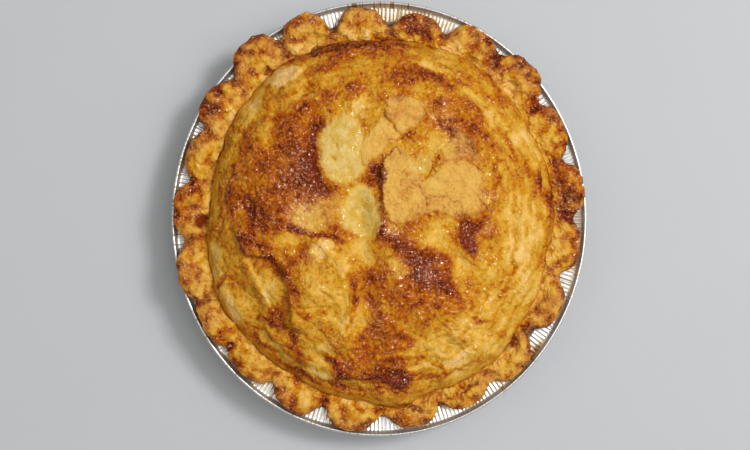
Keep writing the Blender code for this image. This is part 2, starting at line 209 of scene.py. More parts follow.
# How much calmer the border's relief is on its outer edge
EDGE_CALM = 0.55
# How brown the crust is where no spot changes it
LID_TONE = 0.46
BORDER_TONE = 0.47

# Uneven relief shared with the solid: wavelength and depth
RELIEF = ((30.0, 1.8), (11.0, 1.0))
BORDER_RELIEF = ((14.0, 0.7), (5.0, 0.5))

# Spots on the crust, by what they change: x, y, half length, half width, turn, amount.
# bake is how brown it is, juice the dark glaze, moist the unbaked wet dough, dry the matte
# flakes, and gloss the egg-washed shine together with the highlights painted there
SPOTS = {
    "gloss": (
        (-38, -19, 9, 7, 60, 0.9), (-44, 8, 15, 10, 70, 0.7), (-52, 28, 16, 8, 80, 0.45),
        (28, -32, 9, 7, -60, 0.9), (9, -9, 10, 6, -20, 0.9), (14, -30, 14, 8, 0, 0.5),
        (-10, 64, 7, 6, 0, 0.8), (40, 58, 13, 7, -55, 0.7), (62, -4, 8, 5, 90, 0.7),
        (55, -18, 7, 4, 90, 0.6), (67, 10, 6, 4, 90, 0.6), (-34, -40, 10, 7, 70, 0.4),
        (-27, -68, 10, 5, 60, 0.5), (-5, -58, 12, 6, 90, 0.5), (8, -94, 5, 4, 0, 0.7),
        (23, 108, 6, 4, 0, 0.7), (46, -66, 16, 6, 20, 0.4),
    ),
    "bake": (
        # Left hump
        (-60, 22, 44, 26, 80, 0.2), (-46, 40, 24, 11, 85, 0.07), (-56, 52, 15, 8, 40, 0.07),
        (-40, 65, 12, 7, 15, 0.24), (-28, 71, 8, 5, 30, 0.2), (-79, 41, 9, 6, 70, 0.2),
        (-69, 31, 11, 7, 60, 0.1), (-69, 49, 10, 4, 50, -0.16), (-88, 16, 10, 4, 95, 0.2),
        (-73, 3, 12, 5, 100, 0.12), (-60, 2, 12, 8, 10, 0.14), (-86, 34, 20, 4, 72, -0.1),
        (-83, -2, 11, 5, 95, 0.06),
        # Upper left
        (-58, 72, 11, 8, 45, 0.14), (-37, 84, 12, 6, 25, 0.14), (-20, 92, 8, 5, 10, 0.26),
        (-8, 94, 6, 4, 0, 0.24), (-14, 76, 9, 5, 0, 0.24), (4, 84, 16, 6, 0, 0.12),
        (-20, 63, 13, 6, 10, -0.2), (-10, 66, 6, 5, 0, -0.22), (-8, 100, 30, 4, -2, 0.16),
        # Round the middle
        (-4, 25, 9, 5, 70, 0.44), (-6, 21, 5, 4, 0, 0.2), (-30, 17, 9, 5, -20, 0.14),
        (-42, -6, 16, 4, -12, 0.2), (-10, -19, 9, 7, 90, -0.16),
        # Lower left; the rows at (-50, -37) and (-56, -52) darken the dome's folded edge as
        # painted shade
        (-57, -14, 11, 6, -20, -0.2), (-76, -14, 6, 5, 0, 0.2), (-46, -18, 8, 6, 60, 0.24),
        (-37, -18, 6, 5, 0, -0.24), (-50, -37, 14, 6, -62, 0.2), (-62, -36, 15, 8, -55, -0.22),
        (-83, -38, 8, 4, -60, 0.16), (-88.5, -36, 3, 2.4, 0, 0.55), (-75, -52, 8, 6, -45, -0.16),
        (-62, -56, 9, 4, 0, 0.16), (-52.5, -66, 6, 4, 95, 0.24), (-51, -77, 10, 5, -30, 0.22),
        (-23, -85, 10, 5, -25, 0.3), (-42, -72, 9, 7, 0, -0.16), (-34, -87, 7, 3, -25, -0.22),
        (-15, -67, 15, 5, 85, -0.16), (-5, -59, 15, 5, 80, 0.26), (-3, -36, 12, 6, 80, 0.2),
        (-66, -76, 16, 4, -45, 0.1), (-60, -24, 15, 4, -30, 0.16), (-64, -16, 20, 7, -20, 0.12),
        (-36, -56, 12, 5, 15, 0.12), (-56, -52, 8, 6, 80, 0.18), (-28, -74, 9, 5, -30, -0.14),
        (-66, -66, 8, 6, -45, 0.12), (-12, -92, 14, 4, -6, 0.14),
        # Bottom
        (5, -94, 15, 9, 0, 0.44), (-6, -84, 26, 10, -10, 0.2), (16, -68, 6, 4, 0, 0.3),
        (6, -72, 14, 9, 90, 0.12),
        # Dark patches right of the middle
        (12, -18, 16, 9, -20, 0.34), (28, -28, 18, 12, -45, 0.36), (41, -43, 10, 7, -50, 0.32),
        (18, -42, 14, 8, 20, 0.2), (28, -54, 8, 5, 0, 0.2), (56, 1, 10, 5, 15, 0.36),
        (52, -13, 13, 6, 85, 0.42), (37, -16, 22, 6, -58, -0.18), (36, -5, 12, 6, 0, -0.12),
        # Plates
        (27, 33, 8, 6, 60, -0.1), (-37, 4, 14, 10, 25, -0.08),
        # Upper right
        (14, 75, 7, 5, -10, 0.2), (25, 82, 12, 5, -15, 0.3), (42, 72, 18, 7, -40, 0.2),
        (38, 60, 10, 6, -40, 0.16), (48, 52, 16, 8, -55, 0.16), (58, 40, 12, 9, -60, 0.12),
        (68, 73, 8, 5, -45, 0.18), (74, 46, 9, 4, -65, 0.16), (88, 24, 12, 4, 100, 0.12),
        (82, 43, 16, 6, -65, -0.26), (29, 45, 11, 6, 0, -0.2), (48, 88, 20, 4, -30, -0.06),
        # Right and lower right
        (84, -14, 38, 12, 95, -0.24), (80, -25, 12, 2.5, 95, 0.2), (72, 12, 16, 8, 90, -0.1),
        (64, -38, 16, 13, 120, -0.15), (62, -64, 24, 14, 125, -0.19), (38, -76, 26, 14, 160, -0.2),
        (58, -61, 5, 2.5, 20, 0.34), (36, -83, 4, 3, 60, 0.34), (28, -79, 14, 2.2, -10, 0.22),
        # Juice on the border
        (24, 107, 15, 9, -12, 0.3), (-95, 60, 8, 6, 60, 0.3), (96, -50, 14, 9, 60, 0.2),
        (104, 18, 22, 8, 95, 0.28), (75, 88, 22, 9, -40, 0.14), (-60, 98, 9, 6, 30, 0.22),
        (-78, 88, 10, 6, 45, -0.16), (-47, 99, 7, 5, 20, -0.2), (-95, -38, 12, 4, -70, -0.24),
        (-80, -71, 14, 4, -48, -0.2), (-42, -99, 10, 4, -25, -0.16), (44, 98, 8, 5, -20, -0.24),
    ),
    "moist": (
        (-10, -19, 8, 7, 90, 0.45), (27, 33, 7, 5, 60, 0.8),
    ),
    "juice": (
        (5, -94, 6.5, 5.5, 0, 1), (26, -27, 11, 7, -50, 0.62), (40, -37, 10, 6, -60, 0.55),
        (8, -16, 10, 5, -20, 0.65), (53, -10, 13, 5, 80, 0.85), (24, 107, 10, 6, -12, 0.95),
        (-102, -3, 6, 7, 0, 0.95), (20, -109, 10, 3, 10, 0.75), (52, -97, 9, 3, 28, 0.75),
        (77, -70, 6, 4, 45, 0.85), (104, 22, 13, 3, 95, 0.45), (105, 1, 5, 5, 90, 0.7),
        (-100, -47, 6, 4, 0, 0.5),
    ),
    "dry": (
        (-37, 4, 14, 10, 25, 0.7),
    ),
}

# Lines on the crust, by what they change: half width, amount, corners. rise is in mm
LINES = {
    "bake": (
        (5, 0.24, ((-35, 56), (-38, 46), (-40, 31), (-37, 19), (-30, 14))),
        (2.5, 0.28, ((-52, -6), (-42, -9), (-30, -10), (-22, -12))),
        (2.4, 0.32, ((2, 36), (1, 20), (1, 4), (2, -8))),
        (3.8, -0.34, ((-95, -16), (-93, -30), (-88, -44), (-81, -57))),
        # Painted highlight along the ridge of the second fold
        (2.6, -0.26, ((-77, -24), (-73, -28), (-70, -35), (-67, -42), (-64, -48))),
        # Painted shade: a darker band along the dome's folded edge
        (4.5, 0.08, ((-81, -10), (-74, -18), (-64, -19), (-56, -26), (-51, -36), (-48, -50))),
        (2.4, 0.18, ((-75, 13), (-74, 0), (-73, -10))),
        # Painted shadow along the flap's right edge
        (2, 0.26, ((-15, -38), (-13, -50), (-16, -58))),
        (2.2, -0.26, ((-20, -56), (-19, -66))),
        (2, -0.2, ((-62, 60), (-52, 67), (-44, 73))),
        (3, 0.3, ((-50, 92), (-38, 96), (-20, 99), (0, 102), (12, 101))),
        (2.4, -0.22, ((25, 91), (38, 83), (50, 72), (59, 65), (66, 54))),
        (1.6, 0.12, ((78, 4), (79, -12), (77, -28), (72, -42))),
        (1.4, 0.08, ((88, 6), (89, -14), (86, -30))),
        (2.6, 0.16, ((64, 6), (67, 20), (68, 34))),
        (1.8, 0.18, ((-72, -66), (-58, -82), (-42, -92), (-20, -97), (0, -97))),
        (1.6, -0.22, ((-68, -66), (-54, -80), (-38, -89), (-18, -94), (-4, -96))),
        (1.6, -0.2, ((2, -84), (20, -86), (38, -84), (56, -76))),
        (1.6, 0.22, ((14, -92), (30, -91), (46, -86), (60, -78))),
    ),
    "juice": (
        (3.2, 0.85, ((-36, 52), (-39, 44), (-39, 34), (-40, 27), (-37, 20), (-33, 16))),
    ),
    "rise": (
        (5.5, 0.7, ((-12, 15), (-7, 8), (-4, -2))),
        (1.5, -1, ((-34, -42), (-28, -46), (-22, -46))),
        (1.5, -0.8, ((-40, -50), (-32, -53), (-24, -52))),
        (1.6, -0.9, ((42, 68), (47, 58), (50, 50))),
        (1.6, -0.9, ((52, 62), (56, 54), (60, 46))),
        (1.4, -0.8, ((36, -62), (48, -66), (60, -64))),
        (1.4, -0.8, ((26, -74), (40, -78), (54, -75))),
        (1.4, -0.8, ((58, -46), (66, -40), (70, -30))),
        (1.5, -0.8, ((-66, 34), (-58, 38), (-50, 44))),
        (1.5, -0.8, ((-62, 14), (-52, 18), (-46, 26))),
        (1.3, 0.9, ((76, 30), (80, 14), (81, -6), (78, -28))),
        (1.3, 0.9, ((86, 22), (89, 4), (88, -20), (82, -38))),
    ),
}

# Outlined parts of the crust: what they change, by how much and how softly, then corners
AREAS = (
    ((("moist", 0.95, 3.6), ("bake", -0.4, 2.5)),
        ((-33, 50), (-28, 57), (-20, 60), (-13, 57), (-10, 50), (-9, 36), (-10, 28), (-14, 23),
        (-20, 21), (-28, 24), (-33, 32), (-34, 42))),
    ((("moist", 1, 2), ("bake", -0.34, 3)),
        ((-12, 20), (-6, 17), (-1, 8), (1, -3), (-3, -9), (-12, -9), (-20, -5), (-22, 1), (-19, 9),
        (-15, 16))),
    ((("bake", -0.12, 4),),
        ((-45, -36), (-40, -28), (-30, -24), (-22, -27), (-17, -35), (-17, -45), (-15, -51),
        (-19, -57), (-20, -66), (-30, -60), (-42, -56), (-47, -46))),
    ((("bake", -0.3, 1.4),),
        ((-34, -12), (-28, -13), (-20, -20), (-16, -30), (-20, -36), (-26, -27), (-33, -20))),
    ((("bake", -0.48, 0.8), ("rise", 0.9, 0.5)),
        ((-66, 77), (-58, 76), (-50, 80), (-45, 86), (-50, 89), (-58, 87), (-65, 82))),
    # Two small holes between flutes; their browning of 0.6 is painted shade in the holes
    ((("rise", -2.2, 1.2),), ((-66, 83), (-62, 81), (-60, 85), (-64, 88))),
    ((("bake", 0.6, 1),), ((-66, 83), (-62, 81), (-60, 86), (-64, 88))),
    ((("rise", -2.6, 1.2), ("bake", 0.6, 1)), ((-40, 93), (-35, 94), (-34, 98), (-39, 98))),
    ((("rise", -1.8, 1.6),), ((72, 73), (77, 72), (79, 77), (74, 79))),
    ((("bake", -0.36, 2),), ((70, 72), (77, 71), (81, 78), (74, 81))),
    ((("bake", -0.26, 2),), ((-82, 52), (-76, 54), (-67, 68), (-66, 78), (-72, 76), (-80, 62))),
)

# Thick matte flakes: rise, how browned, softness of the edge, corners
PLATES = (
    (0.8, -0.08, 1, ((2, 59), (8, 52), (8, 50), (0, 36), (-9, 31), (-11, 36), (-9, 45), (-5, 50))),
    (1.1, 0.02, 0.6,
        ((4, 68), (10, 71), (20, 70), (27, 66), (26, 60), (20, 52), (13, 48), (10, 50), (8, 55),
        (3, 60))),
    (0.6, 0, 0.6, ((5, 45), (7, 49), (12, 50), (11, 46), (8, 43))),
    (0.5, 0, 2.5,
        ((2, 35), (9, 40), (15, 41), (22, 30), (25, 22), (34, 27), (36, 34), (48, 34), (59, 27),
        (62, 12), (56, 3), (42, 1), (33, 5), (26, 2), (14, -3), (6, -2), (2, 6), (1, 22))),
    (0.5, 0.1, 1.5, ((36, 40), (46, 52), (54, 44), (58, 34), (48, 35), (38, 33))),
)

# Cracks: depth, half width, corners
CRACKS = (
    (0.9, 0.5, ((20, 50), (10, 45), (5, 46))),
    (0.8, 0.5, ((3, 36), (10, 41), (12, 38))),
    (0.7, 0.5, ((33, 39), (30, 30), (33, 26))),
    (0.9, 0.6, ((23, 20), (25, 15), (28, 11), (28, 7))),
    (0.7, 0.5, ((25, 22), (31, 31), (35, 37))),
    (0.5, 0.4, ((28, 11), (38, 13), (44, 9))),
    (0.6, 0.4, ((50, 34), (60, 27))),
    (0.6, 0.4, ((55, 15), (63, 5))),
    (0.6, 0.4, ((-42, -2), (-43, 4), (-41, 9))),
    (1.4, 0.9, ((-25, 43), (-24, 40))),
    (1.2, 0.7, ((-28, 36), (-26, 35))),
)

# Where the lid's layers show as streaks along its rim: angle, amount, half width
STREAKED = ((0.0, 0.75, 42.0), (290.0, 0.45, 30.0), (235.0, 0.6, 22.0), (100.0, 0.4, 40.0))

# Baked-on juice on the flange: angle, radius, half width in degrees, half width in mm, amount
STAINS = (
    (85, 115, 26, 8, 0.85), (123, 113, 8, 5, 0.9), (180, 116, 30, 7, 0.5), (224, 114, 12, 5, 0.75),
    (250, 115, 26, 6, 0.55), (292, 114, 18, 5, 0.6), (310, 116, 8, 4, 0.7), (319, 118, 5, 2.2, 1),
    (350, 118.5, 24, 1.2, 0.7), (30, 117, 30, 2, 0.45),
)


def length_property(name, description, default):
    """A property that holds one length."""
    return FloatProperty(
        name=name, description=description, default=default, unit="LENGTH", subtype="DISTANCE",
    )


def colour_property(name, description, default):
    """A property that holds one linear colour."""
    return FloatVectorProperty(
        name=name, description=description, default=(*default, 1.0), size=4,
        subtype="COLOR", min=0.0, max=1.0,
    )


class PieForm(bpy.types.PropertyGroup):
    """Sizes of the baked pie"""

    lid_rise: length_property("Lid rise", "Height of the lid over the groove", LID_RISE)
    flake_rise: length_property("Flake rise", "Height of one flaky layer's edge", 0.34 * MM)
    grain_depth: length_property("Grain depth", "Depth of the crust's fine grain", 0.44 * MM)


class TinForm(bpy.types.PropertyGroup):
    """Sizes of the foil tin"""

    pleats: IntProperty(name="Pleats", description="Pleats round the tin", default=320)
    pleat_depth: length_property("Pleat depth", "Depth of a pleat on the wall", 0.45 * MM)
    flange_pleat: length_property("Flange pleat", "Depth of a pleat on the flange", 0.26 * MM)
    bead_radius: length_property("Bead radius", "Radius of the rolled bead", 0.85 * MM)
    foil: colour_property("Foil", "Bare foil", (0.80, 0.80, 0.77))
    film: colour_property("Film", "Thin baked-on juice", (0.50, 0.30, 0.07))
    crusted: colour_property("Crusted", "Thick baked-on juice", (0.12, 0.035, 0.012))


class CrustColours(bpy.types.PropertyGroup):
    """Colours of the crust from raw to burnt, of what lies on it, and of the highlights and shade
    painted on its grain
    """

    raw: colour_property("Raw", "Unbaked dough", (0.92, 0.57, 0.20))
    pale: colour_property("Pale", "Lightly baked dough", (0.82, 0.47, 0.065))
    golden: colour_property("Golden", "Evenly baked crust", (0.66, 0.295, 0.010))
    amber: colour_property("Amber", "Well baked crust", (0.50, 0.120, 0.002))
    brown: colour_property("Brown", "Browned crust", (0.27, 0.040, 0.001))
    burnt: colour_property("Burnt", "Darkest spots", (0.13, 0.012, 0.002))
    juice: colour_property("Juice", "Boiled-over juice", (0.22, 0.026, 0.003))
    moist: colour_property("Moist", "Wet dough that stayed pale", (0.66, 0.41, 0.045))
    cream: colour_property("Cream", "Lighter parts of the wet dough", (0.86, 0.66, 0.26))
    dry: colour_property("Dry", "Matte flakes", (0.84, 0.50, 0.12))
    # Painted highlights: the next two colours lighten the tops of the grain's bumps, pale gold on
    # golden crust and rosy on browned crust
    grain_highlight: colour_property("Speck", "Light specks of the grain", (0.86, 0.50, 0.11))
    rosy_highlight: colour_property("Rosy", "Light specks on browned crust", (0.78, 0.33, 0.13))
    # Painted highlight: pinkish-white flecks and patches painted into the colour as glints and
    # sheen
    painted_sheen: colour_property("Sheen", "Flecks of the shiniest places", (0.96, 0.72, 0.48))
    pit: colour_property("Pit", "Shade of the grain's pits, over the crust", (0.58, 0.32, 0.09))


class Studio(bpy.types.PropertyGroup):
    """Floor, lights and camera"""

    floor_colour: colour_property("Floor", "Pale floor", (0.53, 0.541, 0.556))
    key_power: FloatProperty(
        name="Key power", description="Power of the soft light", default=60.0, unit="POWER",
    )
    sky_strength: FloatProperty(
        name="Sky strength", description="Strength of the light from all round", default=0.27,
    )
    focal_length: FloatProperty(
        name="Focal length", description="Camera lens in millimetres", default=75.0,
        unit="CAMERA",
    )


def smoothstep(low, high, value):
    """0 below low, 1 above high, and a smooth rise between them."""
    share = np.clip((value - low) / (high - low), 0.0, 1.0)
    return share * share * (3.0 - 2.0 * share)


def clouds(points, size, seed):
    """Smooth noise, mostly within half of 1 either way, with lumps of a size in metres."""
    return np.array([noise.noise(point) for point in (points / size + seed).tolist()])


def turned_from(centre, degrees):
    """Degrees from a centre, from -180 to 180."""
    return (degrees - centre + 180.0) % 360.0 - 180.0


def around(angle, table):
    """Sums bumps given as (degrees, mm, half width in degrees), in metres, at each angle."""
    degrees = np.degrees(angle) % 360.0
    total = np.zeros_like(angle)
    for centre, rise, half_width in table:
        away = turned_from(centre, degrees)
        total += rise * MM * np.exp(-((away / half_width) ** 2))
    return total


def flutes_at(angle):
    """Reach of the border's outer edge, and 1 on a lobe down to 0 in a notch, at each angle."""
    degrees = (np.degrees(angle) - FLUTES[0][0]) % 360.0
    reach = np.empty_like(angle)
    fullness = np.empty_like(angle)
    for i, (start, lobe, notch, _, _) in enumerate(FLUTES):
        later = FLUTES[(i + 1) % len(FLUTES)]
        span = (later[0] - start) % 360.0
        share = (degrees - (start - FLUTES[0][0])) / span
        here = (share >= 0.0) & (share < 1.0)
        near_lobe = np.abs(2.0 * share[here] - 1.0)
        full = 0.5 + 0.5 * np.cos(math.pi * np.power(1.0 - near_lobe, NOTCH_SHARPNESS))
        top = np.where(share[here] < 0.5, lobe, later[1])
        reach[here] = (notch + (top - notch) * full) * MM
        fullness[here] = full
    return reach, fullness


def lid_edge(angle):
    """Radius of the groove between lid and border."""
    radius = GROOVE_RADIUS + around(angle, EDGE_SWELLS)
    for count, depth, phase in EDGE_WAVES:
        radius = radius + depth * MM * np.sin(count * angle + phase)
    return radius


def groove_floor(angle):
    """Height of the bottom of the groove."""
    return GROOVE_FLOOR + around(angle, GROOVE_RISES)


def groove_depth(angle):
    """Depth of the groove under the border's crest, as a share of its usual depth."""
    return (BORDER_CREST - groove_floor(angle)) / (BORDER_CREST - GROOVE_FLOOR)


def as_seen(x, y):
    """Where a lens above sees a point of the lid: raised points look further out."""
    share = np.clip(np.hypot(x, y) / GROOVE_RADIUS, 0.0, 1.0)
    spread = 1.0 + LID_RISE * (1.0 - share**LID_FULLNESS) / LENS_HEIGHT
    return x * spread * (1.0 - SQUEEZE), y * spread * (1.0 + SQUEEZE)


def uneven(x, y, layers, shift):
    """Smooth noise in layers of (wavelength, depth) in mm, at points in metres, in metres."""
    total = np.zeros(len(x))
    for wavelength, depth in layers:
        step = wavelength * MM
        at = np.column_stack((x / step, y / step, np.full(len(x), shift))).tolist()
        total += [depth * MM * noise.noise(point) for point in at]
    return total


def swells(x, y):
    """Broad rises and hollows of the lid, in metres, at points in metres."""
    total = np.zeros(len(x))
    for *ellipse, rise in SWELLS:
        away = ellipse_distance(x / MM, y / MM, *ellipse)
        total += rise * MM * np.exp(-SWELL_FALLOFF * away**2)
    return total


def ellipse_distance(x, y, centre_x, centre_y, length, width, turn):
    """Distance from the middle of a turned ellipse, 1 on its edge."""
    cosine = math.cos(math.radians(turn))
    sine = math.sin(math.radians(turn))
    along = ((x - centre_x) * cosine + (y - centre_y) * sine) / length
    across = ((y - centre_y) * cosine - (x - centre_x) * sine) / width
    return np.hypot(along, across)


def edge_offsets(x, y, corners):
    """Distance aside from a line of corners, positive on its left, and how far past its ends."""
    best = np.full(len(x), 1e9)
    signed = np.zeros(len(x))
    beyond = np.zeros(len(x))
    last = len(corners) - 2
    for i in range(last + 1):
        (ax, ay), (bx, by) = corners[i], corners[i + 1]
        run_x, run_y = bx - ax, by - ay
        length = math.hypot(run_x, run_y)
        right, up = x - ax, y - ay
        along = (right * run_x + up * run_y) / length
        across = (run_x * up - run_y * right) / length
        past = along - np.clip(along, 0.0, length)
        away = np.hypot(past, across)
        closer = away < best
        best = np.where(closer, away, best)
        at_end = ((i == 0) & (past < 0.0)) | ((i == last) & (past > 0.0))
        signed = np.where(closer, np.where(at_end, across, np.sign(across) * away), signed)
        beyond = np.where(closer, np.where(at_end, np.abs(past), 0.0), beyond)
    return signed, beyond


def line_distance(x, y, corners):
    """Distance to the nearest point of a line of corners."""
    return np.hypot(*edge_offsets(x, y, corners))


def inside_distance(x, y, corners):
    """Distance in from the edge of a flat outline, negative outside it."""
    closed = (*corners, corners[0])
    crossings = np.zeros(len(x), dtype=int)
    for (ax, ay), (bx, by) in zip(closed[:-1], closed[1:]):
        spans = (ay > y) != (by > y)
        level = ax + (y - ay) * (bx - ax) / (by - ay + 1e-9)
        crossings += spans & (x < level)
    return line_distance(x, y, closed) * np.where(crossings % 2 == 1, 1.0, -1.0)


def folds(x, y):
    """Raised edges of folds and thick flakes, less the creases, in metres."""
    total = np.zeros(len(x))
    for rise, reach, corners in FOLDS:
        signed, beyond = edge_offsets(x / MM, y / MM, corners)
        lift = smoothstep(-FOLD_SOFTNESS, FOLD_SOFTNESS, signed)
        lift *= np.exp(-np.maximum(signed, 0.0) / reach) * np.exp(-((beyond / FOLD_END) ** 2))
        total += rise * MM * lift
    for depth, half_width, corners in CREASES:
        signed, beyond = edge_offsets(x / MM, y / MM, corners)
        cut = np.exp(-((signed / half_width) ** 2)) * np.exp(-((beyond / FOLD_END) ** 2))
        total -= depth * MM * cut
    return total


def round_points(radius, angle, height):
    """Points at these round coordinates, squeezed a little oval."""
    return np.column_stack((
        radius * np.cos(angle) * (1.0 - SQUEEZE),
        radius * np.sin(angle) * (1.0 + SQUEEZE),
        height + 0.0 * angle,
    ))


def lid_points(form, share, angle):
    """Points of the lid at a share of the way from its middle to its edge."""
    radius = share * (lid_edge(angle) + LID_TUCK)
    leftness = 0.5 - 0.5 * np.cos(angle)
    fullness = LID_FULLNESS + LEFT_FULLNESS * leftness
    roundness = LID_ROUNDNESS + LEFT_ROUNDNESS * leftness
    floor = groove_floor(angle)
    top = GROOVE_FLOOR + form.lid_rise
    height = floor + (top - floor) * np.power(1.0 - share**fullness, 1.0 / roundness)
    x = radius * np.cos(angle)
    y = radius * np.sin(angle)
    seen_x, seen_y = as_seen(x, y)
    inside = smoothstep(1.0, 0.86, share)
    height += inside * (swells(seen_x, seen_y) + uneven(x, y, RELIEF, 3.0))
    height += smoothstep(1.0, 0.94, share) * folds(seen_x, seen_y)
    return round_points(radius, angle, height)


def thumb_prints(radius, angle):
    """How deep the thumb prints on the border's inner side are, in metres."""
    degrees = np.degrees(angle) % 360.0
    total = np.zeros_like(radius)
    for _, _, _, centre, depth in FLUTES:
        away = turned_from(centre, degrees)
        back = (radius - lid_edge(angle)) / MM - 1.0
        total += depth * MM * np.exp(-((away / PRINT_WIDTH) ** 2) - (back / PRINT_REACH) ** 2)
    return total


def underside(radius):
    """Lowest height of the border over the flange and the bead."""
    lift = np.clip((radius - OVERHANG_START) / (OVERHANG_END - OVERHANG_START), 0.0, 1.0)
    return TIN_DEPTH + GAP + OVERHANG_LIFT * lift


def border_points(turn, angle):
    """Points of the border's section at a turn in degrees, 0 outermost and 180 innermost."""
    inner = lid_edge(angle)
    outer, fullness = flutes_at(angle)
    cosine = math.cos(math.radians(turn))
    sine = math.sin(math.radians(turn))
    half = (outer - inner) / 2.0
    radius = (inner + outer) / 2.0 + half * math.copysign(abs(cosine) ** SECTION_WIDTH, cosine)
    wide = (outer - inner - NARROWEST) / (WIDEST - NARROWEST)
    radius = radius + CREST_OUTWARD * half * wide * max(sine, 0.0) ** 2
    rise = BORDER_UP if sine > 0.0 else BORDER_DOWN
    height = BORDER_MIDDLE + rise * math.copysign(abs(sine) ** SECTION_RISE, sine)
    if cosine < 0.0:
        height = BORDER_CREST - (BORDER_CREST - height) * groove_depth(angle)
    height -= max(sine, 0.0) * NOTCH_DROP * (1.0 - fullness)
    height += max(sine, 0.0) * NARROW_LIFT * (1.0 - wide)
    upper = smoothstep(-0.1, 0.7, np.array(sine))
    height -= upper * thumb_prints(radius, angle)
    x = radius * np.cos(angle)
    y = radius * np.sin(angle)
    height += upper * uneven(x, y, BORDER_RELIEF, 11.0)
    return round_points(radius, angle, np.maximum(height, underside(radius)))


def columns(count):
    """Angles of a ring's points, going round from +X."""
    return np.arange(count) * (FULL_TURN / count)


def strip(first, count, later, later_count):
    """Triangles between two rings that start at the indices first and later."""
    if count == 1 or later_count == 1:
        many, size, tip = (later, later_count, first) if count == 1 else (first, count, later)
        i = np.arange(size)
        fan = np.column_stack((many + i, many + (i + 1) % size, np.full(size, tip)))
        return fan if count == 1 else fan[:, ::-1]
    mine = (np.arange(count) + 0.5) / count
    theirs = (np.arange(later_count) + 0.5) / later_count
    i = np.arange(count)
    j = np.searchsorted(theirs, mine) % later_count
    down = np.column_stack((first + (i + 1) % count, first + i, later + j))
    j = np.arange(later_count)
    i = np.searchsorted(mine, theirs, side="right") % count
    up = np.column_stack((later + j, later + (j + 1) % later_count, first + i))
    return np.concatenate((down, up))


def lofted(rings):
    """Points and triangles of a surface through rings of points, each with its own count."""
    counts = [len(ring) for ring in rings]
    starts = np.concatenate(([0], np.cumsum(counts)))
    parts = [
        strip(starts[i], counts[i], starts[i + 1], counts[i + 1]) for i in range(len(rings) - 1)
    ]
    return np.concatenate(rings), np.concatenate(parts)


def outward(points, triangles):
    """The triangles, all turned round if they enclose a negative volume."""
    a, b, c = (points[triangles[:, i]] for i in range(3))
    volume = (a * np.cross(b, c)).sum()
    return triangles if volume > 0.0 else triangles[:, ::-1]


def normals_of(points, triangles):
    """Unit normal of the surface at every point."""
    a, b, c = (points[triangles[:, i]] for i in range(3))
    face = np.cross(b - a, c - a)
    total = np.zeros_like(points)
    for i in range(3):
        np.add.at(total, triangles[:, i], face)
    return total / np.maximum(np.linalg.norm(total, axis=1, keepdims=True), 1e-12)


def make_piece(name, points, triangles, values, finish, node):
    """A smooth mesh object with its values for the finish, riding on the root body."""
    mesh = bpy.data.meshes.new(name)
    mesh.from_pydata(points.tolist(), [], triangles.tolist())
    for key, value in values.items():
        held = mesh.attributes.new(key, "FLOAT", "POINT")
        held.data.foreach_set("value", np.ascontiguousarray(value, dtype=np.float32))
    mesh.shade_smooth()
    mesh.materials.append(finish)
    piece = bpy.data.objects.new(name, mesh)
    bpy.context.scene.collection.objects.link(piece)
    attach(piece, "root")
    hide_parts(node)
    return piece


class Signal:
    """A shader socket for use in Python expressions, where each operation adds a Math node."""

    def __init__(self, sheet, socket):
        self.sheet = sheet
        self.socket = socket

    def math(self, operation, first, second, clamp=False):
        settings = {"operation": operation, "use_clamp": clamp}
        return self.sheet.add("Math", settings, {0: first, 1: second})

    def __add__(self, other):
        return self.math("ADD", self, other)

    def __radd__(self, other):
        return self.math("ADD", other, self)

    def __sub__(self, other):
        return self.math("SUBTRACT", self, other)

    def __rsub__(self, other):
        return self.math("SUBTRACT", other, self)

    def __mul__(self, other):
        return self.math("MULTIPLY", self, other)

    def __rmul__(self, other):
        return self.math("MULTIPLY", other, self)

    def clamped(self):
        return self.math("ADD", self, 0.0, clamp=True)


class Sheet:
    """The nodes of one material."""

    def __init__(self, name):
        self.material = bpy.data.materials.new(name)
        self.material.use_nodes = True
        self.tree = self.material.node_tree
        self.shader = self.tree.nodes["Principled BSDF"]

    def add(self, kind, settings=None, values=None, output=0):
        """Adds a node: its settings first, then the values or links of its sockets."""
        made = self.tree.nodes.new("ShaderNode" + kind)
        for key, value in (settings or {}).items():
            if key == "stops":
                self.set_stops(made.color_ramp, value)
            else:
                setattr(made, key, value)
        for key, value in (values or {}).items():
            self.join(made.inputs[key], value)
        return Signal(self, made.outputs[output])

    def set_stops(self, ramp, stops):
        """Gives a ramp its (position, colour) stops."""
        for _ in range(len(stops) - 2):
            ramp.elements.new(0.5)
        for element, (position, colour) in zip(ramp.elements, stops):
            element.position = position
            element.color = colour

    def join(self, socket, value):
        """Sets a socket's value or links it."""
        if isinstance(value, Signal):
            self.tree.links.new(value.socket, socket)
        else:
            socket.default_value = value

    def set(self, **values):
        """Sets or links the shader's own sockets, with _ for a space in their names."""
        for key, value in values.items():
            self.join(self.shader.inputs[key.replace("_", " ")], value)

    def mix(self, factor, low, high, blend="MIX"):
        """A colour between low and high."""
        settings = {"data_type": "RGBA", "blend_type": blend}
        return self.add("Mix", settings, {0: factor, 6: low, 7: high}, output=2)

    def value_of(self, attribute):
        """One of the values kept at the mesh's points."""
        return self.add("Attribute", {"attribute_name": attribute}, output="Fac")

    def speckle(self, place, size, detail=2.0, roughness=0.5):
        """Noise from 0 to 1 with lumps of a size in metres."""
        values = {"Vector": place, "Scale": 1.0 / size, "Detail": detail, "Roughness": roughness}
        return self.add("TexNoise", None, values, output="Fac")

    def bump(self, height, strength, distance):
        """A Bump node, for the shader's normal."""
        values = {"Height": height, "Strength": strength, "Distance": distance}
        return self.add("Bump", None, values, output="Normal")


